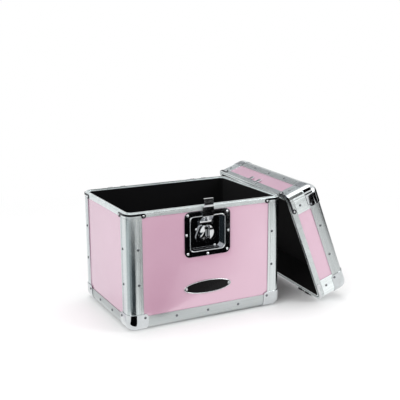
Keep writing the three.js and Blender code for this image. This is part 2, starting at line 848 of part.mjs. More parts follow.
// The bail's line: stub, leg, long run, leg, stub, with round bends, in the plane of the folded handle
const bail = new THREE.Group();
bail.position.z = axisHeight;
lid.add(bail);
const bailLine = new THREE.CurvePath();
const { bendRadius, reach } = handle;
const bailCorners = [
  [-stubEnd, 0],
  [-legFromMiddle, 0],
  [-legFromMiddle, reach],
  [legFromMiddle, reach],
  [legFromMiddle, 0],
  [stubEnd, 0],
].map(([x, y]) => new THREE.Vector3(x, y, 0));
let lineEnd = bailCorners[0];
bailCorners.slice(1, -1).forEach((corner, i) => {
  const toward = (other) => corner.clone().add(other.clone().sub(corner).setLength(bendRadius));
  const before = toward(bailCorners[i]);
  const after = toward(bailCorners[i + 2]);
  bailLine.add(new THREE.LineCurve3(lineEnd, before));
  bailLine.add(new THREE.QuadraticBezierCurve3(before, corner, after));
  lineEnd = after;
});
bailLine.add(new THREE.LineCurve3(lineEnd, bailCorners[bailCorners.length - 1]));
const rodSection = new THREE.Shape().absarc(0, 0, handle.rodRadius, 0, fullTurn, false);
const bailRod = new THREE.ExtrudeGeometry(rodSection, {
  steps: sweepSteps,
  curveSegments: rodFacets,
  extrudePath: bailLine,
});
bail.add(named("handle_bail", toGeometry(toSolid(bailRod)), chromeFinish));

// The grip: a sleeve round the long run, with shallow ridges between the fingers
const gripSteps = stepsPerRidge * handle.ridges;
const gripOutside = Array.from({ length: gripSteps + 1 }, (_, i) => {
  const share = i / gripSteps;
  const swell = Math.sin(share * handle.ridges * 2 * quarter) ** 2;
  return new THREE.Vector2(
    handle.gripRadius - handle.ridgeHeight * swell,
    (share - 1 / 2) * gripLength,
  );
});
const gripBore = handle.rodRadius + fit;
const gripProfile = [
  new THREE.Vector2(gripBore, -gripLength / 2),
  ...gripOutside,
  new THREE.Vector2(gripBore, gripLength / 2),
  new THREE.Vector2(gripBore, -gripLength / 2),
];
const grip = new THREE.LatheGeometry(gripProfile, gripFacets).rotateZ(quarter).translate(0, reach, 0);
bail.add(named("handle_grip", toGeometry(toSolid(grip)), rubberFinish));

// The lid stands on its hinge knuckles and leans until its upper edge just reaches past the case's rim. Its
// rim rests on the brace of the front right corner, or, where it can't reach that high, on the post below.
const caseTop = ballStand + seatHeight;
const uprightShare = (caseTop + lidPastTop - hinge.knuckleRadius) / (caseDepth + knuckleOut);
const lidLean = Math.max(Math.acos(Math.min(uprightShare, 1)), leastLean);
const away = new THREE.Vector3(Math.cos(lidYaw), -Math.sin(lidYaw), 0);
const alongLid = new THREE.Vector3(Math.sin(lidYaw), Math.cos(lidYaw), 0);
const upSlope = new THREE.Vector3(0, 0, Math.cos(lidLean)).addScaledVector(away, -Math.sin(lidLean));
const outward = new THREE.Vector3(0, 0, Math.sin(lidLean)).addScaledVector(away, Math.cos(lidLean));
const footHeight = hinge.knuckleRadius + knuckleOut * Math.cos(lidLean);
const lidReach = footHeight + caseDepth * Math.cos(lidLean);
const braceStand = lidReach > caseTop - brace.height ? fit + brace.thickness : 0;
const cornerReach =
  (caseWidth / 2 - edgeRadius) * Math.cos(lidYaw) +
  (caseDepth / 2 - edgeRadius) * Math.sin(Math.abs(lidYaw)) +
  edgeRadius +
  braceStand;
const touchHeight = Math.min(caseTop, lidReach) - footHeight;
const lidFoot = new THREE.Vector3(0, 0, footHeight)
  .addScaledVector(away, cornerReach + fit / Math.cos(lidLean) + touchHeight * Math.tan(lidLean))
  .addScaledVector(alongLid, -caseDepth / 2 - lidPastFront);
lid.position
  .copy(lidFoot)
  .addScaledVector(upSlope, caseDepth / 2)
  .addScaledVector(alongLid, caseWidth / 2);
lid.quaternion.setFromRotationMatrix(
  new THREE.Matrix4().makeBasis(alongLid.clone().negate(), upSlope.clone().negate(), outward),
);

// The whole, moved so that the middle of its footprint is the origin
const model = new THREE.Group();
model.add(box, lid);
model.updateMatrixWorld(true);
const extent = new THREE.Box3().setFromObject(model, true);
const middle = extent.getCenter(new THREE.Vector3());
box.position.x -= middle.x;
box.position.y -= middle.y;
box.position.z -= extent.min.z;
lid.position.x -= middle.x;
lid.position.y -= middle.y;
lid.position.z -= extent.min.z;

export default model;
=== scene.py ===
# %% [markdown]
# # A record carrying case in pink laminate
#
# The case is a box of laminated panels held by aluminium edges. Its lid has been lifted off and leans
# against the right side. The measured solids arrive as a fixed frame, and this lesson dresses them:
# it softens their edges, adds the rivets, gives each finish a material, and sets the studio.

# %% Load the frame
import json
import math

import bmesh
import bpy
from mathutils import Matrix, Vector


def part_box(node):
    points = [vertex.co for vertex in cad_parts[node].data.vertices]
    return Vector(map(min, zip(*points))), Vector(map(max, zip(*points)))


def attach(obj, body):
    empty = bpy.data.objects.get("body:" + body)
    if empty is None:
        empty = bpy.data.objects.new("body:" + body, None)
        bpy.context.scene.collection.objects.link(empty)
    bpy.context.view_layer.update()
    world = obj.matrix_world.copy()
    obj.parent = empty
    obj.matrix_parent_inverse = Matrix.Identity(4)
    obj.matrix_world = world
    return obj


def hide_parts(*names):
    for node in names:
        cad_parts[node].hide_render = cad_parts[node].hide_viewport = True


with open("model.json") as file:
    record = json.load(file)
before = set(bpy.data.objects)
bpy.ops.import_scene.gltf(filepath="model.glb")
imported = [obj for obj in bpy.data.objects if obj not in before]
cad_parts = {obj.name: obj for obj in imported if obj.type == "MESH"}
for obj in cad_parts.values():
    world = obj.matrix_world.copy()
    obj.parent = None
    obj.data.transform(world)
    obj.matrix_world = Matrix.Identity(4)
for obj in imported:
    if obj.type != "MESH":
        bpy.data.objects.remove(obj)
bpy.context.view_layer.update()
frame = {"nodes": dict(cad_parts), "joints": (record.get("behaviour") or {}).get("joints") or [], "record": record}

# %% [markdown]
# Blender counts in metres, but a maker measures a case in millimetres from its own middle. The frame's
# origin is the middle of case and lid together, so the case stands to the left of it. Its own middle,
# width and depth could be typed in. They are read from the rim instead, which runs all the way round
# the case, so that they can't disagree with the solids. Heights count from the lower line of the base
# edges, and `SEAT` is the height at which the closed lid would rest, just under the rim's tongue.
# The key's joint gives the height of the latch.

# %% Case measures
MM = 0.001
TONGUE = 3.0
rim_low, rim_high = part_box("case_rim")
base_low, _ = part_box("base_edge_front")
middle = (rim_low + rim_high) / 2
joints = {joint["name"]: joint for joint in frame["joints"]}


def height_in_mm(z):
    return round((z - base_low.z) / MM, 3)


WIDTH, DEPTH = [round(side / MM, 3) for side in (rim_high - rim_low)[:2]]
SEAT = height_in_mm(rim_high.z) - TONGUE
LATCH_Z = height_in_mm(joints["key_turn"]["pos_m"][2])
case_space = Matrix.Translation((middle.x, middle.y, base_low.z))
print("case", WIDTH, "x", DEPTH, "mm, lid rests at", SEAT, "mm, latch at", LATCH_Z, "mm")

# %% [markdown]
# The lid has a middle and three directions of its own, because a lid is easier to mark out lying flat
# than leaning. They come from two joints: the lid's joint sits in the middle of its rim, the handle's
# axis runs along the lid, and the handle's pivot stands straight above the middle. `LID_TOP` is how far
# the outside of the lid's top is from its rim.

# %% Lid measures
LID_TOP = 80.5
lid_rim = Vector(joints["lid_lift"]["pos_m"])
lid_x = Vector(joints["bail_fold"]["axis"]).normalized()
lid_z = (Vector(joints["bail_fold"]["pos_m"]) - lid_rim).normalized()
lid_y = lid_z.cross(lid_x)
lid_space = Matrix.Translation(lid_rim) @ Matrix((lid_x, lid_y, lid_z)).transposed().to_4x4()
print("lid middle", [round(v, 4) for v in lid_rim], "lid top looks along", [round(v, 3) for v in lid_z])

# %% [markdown]
# ## Writing materials as sums
#
# A shader is a web of nodes, and wiring it by hand hides what it works out. This small class wraps one
# output socket, so that `a * 0.5 + b` adds the Math nodes by itself. Colours and vectors would turn
# grey in a Math node, so they have methods of their own. Any other node comes from `node`: it takes the
# kind, the settings and the sockets, where a blank in a socket's name is written as an underscore.
# Where several sockets share a name, as on the Mix node, they are picked by number, such as i6.
# `noise` gives clouds between 0 and 1, with about so many blotches to a metre, and `between` takes one
# stretch of such a value and spreads it over another. Noise rarely leaves the stretch from 0.3 to 0.7,
# so `spread` takes that one.

# %% The socket class
class Flow:
    def __init__(self, tree, socket=None):
        self.tree, self.socket = tree, socket

    def node(self, kind, settings=None, out=0, **inputs):
        made = self.tree.nodes.new(kind)
        for name, value in (settings or {}).items():
            setattr(made, name, value)
        for name, value in inputs.items():
            key = int(name[1:]) if name[0] == "i" and name[1:].isdigit() else name.replace("_", " ")
            socket = made.inputs[key]
            if isinstance(value, Flow):
                self.tree.links.new(value.socket, socket)
            else:
                socket.default_value = value
        return Flow(self.tree, made.outputs[out])

    def math(self, operation, other, turned=False):
        first, second = (other, self) if turned else (self, other)
        return self.node("ShaderNodeMath", {"operation": operation}, i0=first, i1=second)

    def __add__(self, other):
        return self.math("ADD", other)

    def __radd__(self, other):
        return self.math("ADD", other, turned=True)

    def __sub__(self, other):
        return self.math("SUBTRACT", other)

    def __rsub__(self, other):
        return self.math("SUBTRACT", other, turned=True)

    def __mul__(self, other):
        return self.math("MULTIPLY", other)

    def __rmul__(self, other):
        return self.math("MULTIPLY", other, turned=True)

    def __truediv__(self, other):
        return self.math("DIVIDE", other)

    def __rtruediv__(self, other):
        return self.math("DIVIDE", other, turned=True)

    def vector(self, operation, other, out="Vector"):
        return self.node("ShaderNodeVectorMath", {"operation": operation}, out, i0=self, i1=other)

    def noise(self, scale, detail=2.0, roughness=0.5):
        return self.node(
            "ShaderNodeTexNoise", Vector=self, Scale=scale, Detail=detail, Roughness=roughness
        )

    def between(self, low, high, to_low=0.0, to_high=1.0):
        return self.node(
            "ShaderNodeMapRange", {"clamp": True},
            Value=self, From_Min=low, From_Max=high, To_Min=to_low, To_Max=to_high,
        )

    def spread(self, to_low=0.0, to_high=1.0):
        return self.between(0.3, 0.7, to_low, to_high)

    def mix(self, first, second):
        first, second = colour_or_flow(first), colour_or_flow(second)
        return self.node("ShaderNodeMix", {"data_type": "RGBA"}, out=2, Factor=self, i6=first, i7=second)


print("socket class ready")

# %% [markdown]
# Tones are written as a screen shows them, from 0 to 255, because that is how a colour is picked.
# A shader works with amounts of light, so `linear` turns one into the other. The other helpers start a
# material on the piece's own coordinates, link a flow to a socket, and turn a height into a bump.

# %% Helpers for materials
def linear(value):
    return value / 12.92 if value <= 0.04045 else ((value + 0.055) / 1.055) ** 2.4


def colour_or_flow(value):
    return value if isinstance(value, Flow) else (*[linear(part / 255) for part in value], 1.0)


def new_material(name, **constants):
    material = bpy.data.materials.new(name)
    material.use_nodes = True
    shader = material.node_tree.nodes["Principled BSDF"]
    for socket, value in constants.items():
        shader.inputs[socket.replace("_", " ")].default_value = value
    place = Flow(material.node_tree).node("ShaderNodeTexCoord", out="Object")
    return material, shader, place


def feed(node, socket, flow):
    flow.tree.links.new(flow.socket, node.inputs[socket])


def bump(height, depth_mm, strength):
    return height.node("ShaderNodeBump", Height=height, Distance=depth_mm * MM, Strength=strength)


print("a middle grey of 188 is", round(linear(188 / 255), 2), "of the light")

# %% [markdown]
# ## Pink laminate
#
# The panels are plywood faced with a glossy printed laminate. One flat pink would do from afar, but the
# real sheet isn't one colour: the print clouds a little, the pressing leaves a fine orange peel, and
# handling leaves hairline scuffs. A picture of it could be wrapped round the case, but it would show
# its pixels close up. Noise has no pixels: low noise tints the colour, high noise lifts the surface,
# and stretched noise, cut off near its top, leaves only a few scuffs. The clear layer is the
# shader's coat.

# %% The laminate
def laminate():
    deep_pink, pale_pink = (209, 162, 185), (215, 170, 193)
    grain_pink, scuffed_pink = (196, 149, 173), (238, 214, 226)
    material, shader, place = new_material(
        "pink_laminate", Coat_Weight=0.9, Coat_Roughness=0.05, Coat_IOR=1.9, IOR=2.3
    )
    cloud = place.noise(5.0, detail=3.0)
    print_grain = place.noise(900.0)
    orange_peel = place.noise(260.0)
    hairlines = place.vector("MULTIPLY", (160.0, 160.0, 9.0)).noise(1.0, detail=1.0)
    scuff = hairlines.between(0.78, 0.84, 0.0, 0.12)
    base = cloud.spread().mix(deep_pink, pale_pink)
    grained = print_grain.between(0.35, 0.65, 0.0, 0.12).mix(base, grain_pink)
    feed(shader, "Base Color", scuff.mix(grained, scuffed_pink))
    feed(shader, "Roughness", cloud.spread(0.2, 0.28) + scuff * 0.4)
    feed(shader, "Normal", bump(orange_peel, depth_mm=0.03, strength=0.35))
    return material


pink = laminate()
print("laminate", pink.name)

# %% [markdown]
# ## Drawn aluminium
#
# An extrusion is pulled through a die, which leaves fine lines along its whole length, and its
# anodised skin is satin. The lines must follow each piece, and the pieces run three ways on the case
# and three ways on the lid. Each piece could have its own unwrapped map, but one function that takes
# the direction of the draw is less work. It takes away nearly all of a point's distance along that
# direction, which stretches plain noise into lines. `satin` is the roughness, and uprights are polished
# more than edges. The last argument scales the tones, and this is painted light: uprights and rims are
# made paler than the edges as a painted highlight, and the edges are darkened as painted shade.

# %% Aluminium for any direction
def stretched_along(place, along, share):
    along = tuple(along)
    distance = place.vector("DOT_PRODUCT", along, out="Value")
    back = place.node("ShaderNodeVectorMath", {"operation": "SCALE"}, i0=along, Scale=distance * share)
    return place.vector("SUBTRACT", back)


def drawn_aluminium(name, along, satin, painted_light_scale):
    tones = ((190, 197, 198), (206, 212, 212), (222, 227, 227))
    dark, middling, light = [tuple(part * painted_light_scale for part in tone) for tone in tones]
    material, shader, place = new_material(name, Metallic=1.0)
    pulled = stretched_along(place, along, share=0.992)
    lines = pulled.noise(700.0, detail=3.0, roughness=0.6)
    bands = pulled.noise(70.0)
    cloud = place.noise(14.0, detail=3.0)
    tone = bands.spread().mix(middling, light)
    patchy = cloud.spread(-0.02, 0.05)
    feed(shader, "Base Color", lines.between(0.35, 0.65, 0.0, 0.4).mix(tone, dark))
    feed(shader, "Roughness", lines.spread(satin, satin + 0.1) + patchy)
    feed(shader, "Normal", bump(lines, depth_mm=0.02, strength=0.5))
    return material


case_x, case_y, case_z = Vector((1, 0, 0)), Vector((0, 1, 0)), Vector((0, 0, 1))
# The last number of each row paints light and shade: above one it is a painted highlight, below one painted shade.
aluminium = {
    "case_x": drawn_aluminium("aluminium_case_across", case_x, satin=0.26, painted_light_scale=0.93),
    "case_y": drawn_aluminium("aluminium_case_deep", case_y, satin=0.26, painted_light_scale=0.88),
    "case_z": drawn_aluminium("aluminium_case_upright", case_z, satin=0.16, painted_light_scale=1.04),
    "case_rim": drawn_aluminium("aluminium_case_rim", case_x, satin=0.22, painted_light_scale=1.1),
    "lid_rim": drawn_aluminium("aluminium_lid_rim", lid_x, satin=0.18, painted_light_scale=1.0),
    "lid_x": drawn_aluminium("aluminium_lid_across", lid_x, satin=0.22, painted_light_scale=0.92),
    "lid_y": drawn_aluminium("aluminium_lid_deep", lid_y, satin=0.22, painted_light_scale=0.94),
    "lid_z": drawn_aluminium("aluminium_lid_upright", lid_z, satin=0.14, painted_light_scale=1.14),
}
print("aluminium", len(aluminium), "kinds")

# %% [markdown]
# ## Plating
#
# The latch, its dish, the rounded corners, the braces and the hinges are pressed steel with a plated
# skin. Plating shows its surroundings, so its own colour hardly matters, and a smooth grey would look
# drawn. What makes it real is that it isn't flat: the press leaves slow waves, so many millimetres
# deep, and fingers leave patches that are slightly dull. Most braces and the hinges get a nearly black
# tint, which is a painted dark reflection: it stands in for dark surroundings mirrored in their plating,
# and it sets off their rivets. The rivets along the edges are nickel with a darker tint, which is a
# painted dark reflection too, so that their domes show dark beside the lamps' highlights.

# %% Plated finishes
def plating(name, tint, wave_mm, dull):
    material, shader, place = new_material(name, Metallic=1.0)
    waves = place.noise(30.0, detail=1.0)
    patches = place.noise(60.0, detail=3.0, roughness=0.6)
    touched = tuple(part * 0.93 for part in tint)
    feed(shader, "Base Color", patches.between(0.3, 0.75).mix(tint, touched))
    feed(shader, "Roughness", patches.between(0.5, 0.8, dull, dull + 0.05))
    feed(shader, "Normal", bump(waves, depth_mm=wave_mm, strength=0.5))
    return material


bright = plating("bright_plating", (222, 224, 226), wave_mm=0.2, dull=0.05)
dish_metal = plating("dish_plating", (200, 202, 206), wave_mm=0.15, dull=0.04)
# The corners' tint is a little below the latch's: a painted darker reflection of the shaded floor by the case's
# foot.
corner_metal = plating("corner_plating", (214, 218, 220), wave_mm=0.25, dull=0.06)
# Nearly black tint: a painted dark reflection for braces and hinges, standing in for dark surroundings mirrored in
# plating.
painted_dark_reflection_metal = plating("plating_with_painted_dark_reflection", (46, 47, 51), wave_mm=0.2, dull=0.08)
# Darker nickel tint: a painted dark reflection, so that the rivet domes show dark beside the lamps' highlights.
painted_dark_nickel = plating("rivet_plating_painted_dark", (118, 120, 124), wave_mm=0.1, dull=0.06)
print("plating", bright.name, dish_metal.name, corner_metal.name, painted_dark_reflection_metal.name, painted_dark_nickel.name)

# %% [markdown]
# ## Lining, grip and plate
#
# The lining is a black flocked board: almost no shine, with a short nap that catches light at a low
# angle. The nap could be hair, but at this size the shader's sheen shows the same with far less work.
# The grip is moulded rubber, slightly greyer where hands polish it. The oval plate is a dark enamel with
# a fine flake in it, under a thin clear coat.

# %% Dark finishes
def flock():
    black, worn_black, nap_tip = (4, 4, 5), (8, 8, 9), (15, 15, 17)
    material, shader, place = new_material(
        "black_flock", Sheen_Weight=0.04, Sheen_Roughness=0.5, Specular_IOR_Level=0.1
    )
    nap = place.noise(1400.0, roughness=0.7)
    cloud = place.noise(18.0, detail=3.0)
    tone = cloud.spread().mix(black, worn_black)
    feed(shader, "Base Color", nap.between(0.3, 0.75, 0.0, 0.6).mix(tone, nap_tip))
    feed(shader, "Roughness", nap.spread(0.85, 1.0))
    feed(shader, "Normal", bump(nap, depth_mm=0.2, strength=0.6))
    return material


def rubber():
    fresh_rubber, polished_rubber = (24, 24, 26), (44, 44, 46)
    material, shader, place = new_material("grip_rubber")
    grain = place.noise(1100.0, detail=3.0, roughness=0.6)
    wear = place.noise(45.0).between(0.5, 0.75)
    feed(shader, "Base Color", wear.mix(fresh_rubber, polished_rubber))
    feed(shader, "Roughness", 0.72 - wear * 0.25)
    feed(shader, "Normal", bump(grain, depth_mm=0.1, strength=0.5))
    return material


def enamel():
    black, smoky_black, flake_grey = (6, 5, 7), (12, 11, 13), (40, 38, 44)
    material, shader, place = new_material(
        "plate_enamel", Coat_Weight=0.15, Coat_Roughness=0.03, Specular_IOR_Level=0.1
    )
    flake = place.noise(1800.0, detail=1.0)
    cloud = place.noise(24.0, detail=3.0)
    tone = cloud.spread().mix(black, smoky_black)
    feed(shader, "Base Color", flake.between(0.66, 0.74, 0.0, 0.2).mix(tone, flake_grey))
    feed(shader, "Roughness", cloud.spread(0.22, 0.34))
    return material


lining, grip_rubber, plate_enamel = flock(), rubber(), enamel()
print("dark finishes", lining.name, grip_rubber.name, plate_enamel.name)

# %% [markdown]
# ## Softening the metal
#
# Solids from a drawing have knife edges, and metal never does: the light line along a bent or pressed
# edge is what tells the eye that it is metal. The rounds could be drawn into every solid, but that
# makes a drawing heavy. Here each metal piece is copied, its loose triangles are merged, flat ground is
# made whole again, and a Bevel rounds its sharp edges, which are those that turn by more than
# `keep_angle` degrees. Sharp corners stay sharp in the shading, and curves are smoothed. Then the copy
# stands in for the solid, and rides with the solid's body when a joint moves.

# %% A softened copy of a node
MERGE_WITHIN = 0.01 * MM
FLAT_WITHIN = math.radians(0.6)
ROUND_STEPS = 2


def add_piece(name, data):
    piece = bpy.data.objects.new(name, data)
    bpy.context.scene.collection.objects.link(piece)
    return piece


def plain_mesh(piece):
    bpy.context.view_layer.update()
    return bpy.data.meshes.new_from_object(piece.evaluated_get(bpy.context.evaluated_depsgraph_get()))


def settle(piece):
    piece.data, old = plain_mesh(piece), piece.data
    piece.modifiers.clear()
    bpy.data.meshes.remove(old)


def softened(node, round_mm, material, body, keep_angle=32.0, reshape=None):
    mesh = frame["nodes"][node].data.copy()
    work = bmesh.new()
    work.from_mesh(mesh)
    bmesh.ops.remove_doubles(work, verts=work.verts, dist=MERGE_WITHIN)
    bmesh.ops.dissolve_limit(work, angle_limit=FLAT_WITHIN, verts=work.verts, edges=work.edges)
    if reshape:
        reshape(work)
    work.to_mesh(mesh)
    work.free()
    mesh.materials.clear()
    mesh.materials.append(material)
    piece = add_piece(node + "_piece", mesh)
    if round_mm:
        rounding = piece.modifiers.new("rounding", "BEVEL")
        rounding.width = round_mm * MM
        rounding.segments = ROUND_STEPS
        rounding.limit_method = "ANGLE"
        rounding.angle_limit = math.radians(keep_angle)
        rounding.use_clamp_overlap = True
        rounding.miter_outer = "MITER_ARC"
        settle(piece)
    piece.data.shade_smooth()
    piece.data.set_sharp_from_angle(angle=math.radians(keep_angle))
    even = piece.modifiers.new("even_shading", "WEIGHTED_NORMAL")
    even.mode = "FACE_AREA_WITH_ANGLE"
    even.keep_sharp = True
    settle(piece)
    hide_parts(node)
    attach(piece, body)
    return piece


print("edges get", ROUND_STEPS, "steps to a round")

# %% [markdown]
# The extrusions, rims and rounded corners go first. The rounds are small, because an extrusion's die
# is sharp: a quarter of a millimetre on extrusions, a little more on pressed corners. The names say
# where each piece sits, so a loop over the names finds its finish, where a list could miss one.

# %% Extrusions and corners
DIE_ROUND, CORNER_ROUND = 0.25, 0.35
body_of_node = {
    node: body for body, nodes in frame["record"]["behaviour"]["bodies"].items() for node in nodes
}
metal_pieces = []
for node, body in body_of_node.items():
    where = "lid" if node.startswith("lid") else "case"
    run = None
    if "_edge_" in node:
        run = "x" if node.endswith(("front", "back")) else "y"
    elif "_post_" in node:
        run = "z"
    elif node.endswith("_rim"):
        run = "rim"
    if run:
        metal_pieces.append(softened(node, DIE_ROUND, aluminium[f"{where}_{run}"], body))
    elif node.startswith(("base_corner_", "lid_corner_")):
        metal_pieces.append(softened(node, CORNER_ROUND, corner_metal, body, keep_angle=40.0))
print("softened", len(metal_pieces), "extrusions, rims and corners")

# %% [markdown]
# ## The latch's pressed shapes
#
# Two kinds of piece in the latch aren't flat. The arm is spring steel, and steel bends in curves: wide
# where it climbs out of the dish, tight where it leans over the rim. The wings are crowned, so that
# fingers don't meet a flat plate. Both could be modelled anew, but their holes and outlines are right
# already, so only their points are moved. Each bend is a height, a change of slope, and the spread of
# height on both sides over which a kink becomes a curve. A shape can only bend where it has points,
# so both are cut into thin slices first.

# %% Bends and crowns
ARM_SLICES = range(216, 270)
WING_SLICES = range(-16, 17, 2)
WING_INNER, WING_OUTER, WING_CROWN = 5.0, 17.0, 2.2
ON_THE_CUT = 0.0001 * MM
drawn_bends = [(226.5, 1.148, 0), (238.0, -1.148, 0), (259.5, 0.875, 0), (262.7, -0.875, 0)]
real_bends = [(225.0, 1.09, 5.0), (237.55, -1.09, 1.0), (260.4, 0.965, 1.5), (263.3, -0.965, 0.9)]


def sliced(work, axis, places):
    normal = Vector((0, 0, 0))
    normal[axis] = 1.0
    for place in places:
        everything = work.verts[:] + work.edges[:] + work.faces[:]
        bmesh.ops.bisect_plane(
            work, geom=everything, plane_co=normal * place, plane_no=normal, dist=ON_THE_CUT
        )


def line_out(height, bends):
    out = 0.0
    for at, slope, spread in bends:
        past = height - at
        if abs(past) < spread:
            out += slope * ((past + spread) ** 2 / (4 * spread))
        else:
            out += slope * max(past, 0.0)
    return out


def bend_arm(work):
    sliced(work, 2, [base_low.z + height * MM for height in ARM_SLICES])
    for point in work.verts:
        height = (point.co.z - base_low.z) / MM
        point.co.y -= (line_out(height, real_bends) - line_out(height, drawn_bends)) * MM


def crown_wing(work):
    sliced(work, 0, [middle.x + offset * MM for offset in WING_SLICES])
    sliced(work, 2, [base_low.z + (LATCH_Z + offset) * MM for offset in WING_SLICES])
    for point in work.verts:
        across = (point.co.x - middle.x) / MM
        radius = math.hypot(across, (point.co.z - base_low.z) / MM - LATCH_Z)
        if abs(across) > WING_INNER:
            outwards = max(0.0, (radius - WING_INNER) / (WING_OUTER - WING_INNER))
            point.co.y -= WING_CROWN * MM * (1.0 - outwards ** 2)


print("arm leans out", [round(line_out(250.0, bends), 2) for bends in (drawn_bends, real_bends)], "mm")

# %% [markdown]
# The fittings are pressed from thicker sheet than the extrusions, so their edges are rounder. The bail
# is a round rod already and gets no rounds. The dish sits in shadow and is a shade darker than the parts
# in it. Only the two braces on the lid's back corners are as bright as the latch.

# %% Fittings
PRESSED_ROUND, GRIP_ROUND = 0.3, 0.5
fitting_rounds = {
    "latch_dish": 0.9, "latch_arm": 0.45, "latch_key": 0.4, "latch_wing_left": 0.35,
    "latch_wing_right": 0.35, "lid_keeper": 0.6, "handle_base": 0.5, "handle_bail": 0.0,
}
reshapes = {"latch_arm": bend_arm, "latch_wing_left": crown_wing, "latch_wing_right": crown_wing}
for node, body in body_of_node.items():
    # All braces but the lid's back ones, and all hinges, take the nearly black tint, which is a painted dark
    # reflection.
    if "brace" in node or "hinge" in node:
        metal = bright if node.startswith("lid_brace_back") else painted_dark_reflection_metal
        metal_pieces.append(softened(node, PRESSED_ROUND, metal, body))
    elif node in fitting_rounds:
        metal = dish_metal if node == "latch_dish" else bright
        metal_pieces.append(softened(node, fitting_rounds[node], metal, body, reshape=reshapes.get(node)))
grip = softened("handle_grip", GRIP_ROUND, grip_rubber, "bail")
print("softened", len(metal_pieces), "metal pieces and the", grip.name)

# %% [markdown]
# Panels and linings are flat, so their solids stay as they are and only get their finish.
# The plate has a bright border and a dark face. They could be two pieces, but on the real plate they
# are one pressing, so its copy gets two materials: the faces that look straight out of the sunk part
# take the enamel.

# %% Panels, linings and the plate
PLATE_SUNK, SAME_LEVEL = 0.5 * MM, 0.1 * MM
for node, shape in frame["nodes"].items():
    finish = pink if node.endswith("panel") else lining if node.endswith("lining") else None
    if finish:
        shape.data.materials.clear()
        shape.data.materials.append(finish)

plate_low, plate_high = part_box("oval_plate")
plate = softened("oval_plate", DIE_ROUND, bright, "case")
plate.data.materials.append(plate_enamel)
for face in plate.data.polygons:
    if face.normal.y < -0.9 and abs(face.center.y - plate_low.y - PLATE_SUNK) < SAME_LEVEL:
        face.material_index = 1
print("enamelled", sum(face.material_index for face in plate.data.polygons), "faces of the plate")

# %% [markdown]
# ## Places on the sides
#
# The case has four sides, and so does the lid. To mark one out, it is easiest to look straight at it,
# with x to the right and z up. This matrix turns such a drawing onto a side. Sides count from
# the front: 0 is the front, 1 the right, 2 the back and 3 the left. The third number of a place says
# how far out of the side it stands.

# %% From a drawing to a side
def side_matrix(side):
    reach = (DEPTH if side % 2 == 0 else WIDTH) / 2 * MM
    upright = Matrix.Translation((0, -reach, 0)) @ Matrix.Rotation(math.pi / 2, 4, "X")
    return Matrix.Rotation(side * math.pi / 2, 4, "Z") @ upright


def on_side(space, side, spots):
    whole = space @ side_matrix(side)
    outwards = (whole.to_3x3() @ Vector((0, 0, 1))).normalized()
    return [(whole @ Vector((x * MM, z * MM, out * MM)), outwards) for x, z, out in spots]


for side in range(4):
    _, looks = on_side(case_space, side, [(0, 0, 0)])[0]
    print("side", side, "looks along", [round(v) for v in looks])

# %% [markdown]
# The dish and the plate are both edged with a half-round bead. A round bead always has some strip that
# mirrors the light, which is why it shows as a thin bright line all the way round. Its faces could be
# worked out one by one, but a curve with a round section does the same: a closed line of points, given
# a thickness. The plate's line is an oval, and the dish's is an oblong with round corners.

# %% Beads
PLATE_Z = height_in_mm((plate_low.z + plate_high.z) / 2)


def oblong_outline(width, height, radius, steps=8):
    outline = []
    for turn, (a, b) in enumerate(((1, 1), (-1, 1), (-1, -1), (1, -1))):
        corner_x, corner_z = a * (width / 2 - radius), LATCH_Z + b * (height / 2 - radius)
        for step in range(steps + 1):
            angle = (turn + step / steps) * math.pi / 2
            outline.append((corner_x + radius * math.cos(angle), corner_z + radius * math.sin(angle)))
    return outline


def oval_outline(width, height, steps=72):
    angles = [2 * math.pi * step / steps for step in range(steps)]
    return [(width / 2 * math.cos(angle), PLATE_Z + height / 2 * math.sin(angle)) for angle in angles]


def bead(name, outline, out, thickness):
    curve = bpy.data.curves.new(name, "CURVE")
    curve.dimensions = "3D"
    curve.bevel_depth = thickness * MM / 2
    curve.bevel_resolution = 2
    line = curve.splines.new("POLY")
    line.use_cyclic_u = True
    line.points.add(len(outline) - 1)
    places = on_side(case_space, 0, [(x, z, out) for x, z in outline])
    for point, (place, _) in zip(line.points, places):
        point.co = (*place, 1.0)
    drawn = add_piece(name + "_line", curve)
    mesh = plain_mesh(drawn)
    bpy.data.objects.remove(drawn)
    bpy.data.curves.remove(curve)
    mesh.name = name
    mesh.materials.clear()
    mesh.materials.append(bright)
    mesh.shade_smooth()
    piece = add_piece(name, mesh)
    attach(piece, "case")
    return piece


beads = [
    bead("dish_bead", oblong_outline(86.6, 78.6, radius=8.8), out=-0.4, thickness=1.9),
    bead("plate_bead", oval_outline(116, 29), out=-0.6, thickness=2.0),
]
print("bead faces", [len(piece.data.polygons) for piece in beads])

# %% [markdown]
# ## Rivets
#
# Every flange, corner and fitting is riveted on, about 130 times over. Typing 130 places would hide the
# order that a maker works in: the same few distances on every side. So the places come from loops.
# Along a flange there is a rivet in the middle and one a pitch to each side, or just two where the side
# is short. Rivets near a corner are measured from it: how far in, how high, and how far out of the
# side, with the same on the left and the right. The braces lie along the seat of the lid, so their
# rivets are measured from the seat, on the case downwards and on the lid upwards.

# %% Rivets on the sides
LONG_PITCH, SHORT_PITCH = 78, 38.6
BASE_LINE, LID_EDGE_LINE = 20, 57.4
CORNER_PROUD, BRACE_PROUD = 1.5, 1.3
BRACE_IN, BRACE_OFF_SEAT = 39, 5.65
post_high, post_low = (25.5, 182.5, 0), (25.5, 103.5, 0)
base_corner = (38, 28.5, CORNER_PROUD)
rim_brace = (BRACE_IN, SEAT - BRACE_OFF_SEAT, BRACE_PROUD)
lid_post = (31, 24.5, 0)
lid_corner = (40, 50.5, CORNER_PROUD)
lid_brace = (BRACE_IN, BRACE_OFF_SEAT, BRACE_PROUD)


def along_flange(side, z):
    places = [0, LONG_PITCH, -LONG_PITCH] if side % 2 == 0 else [SHORT_PITCH, -SHORT_PITCH]
    return [(x, z, 0) for x in places]


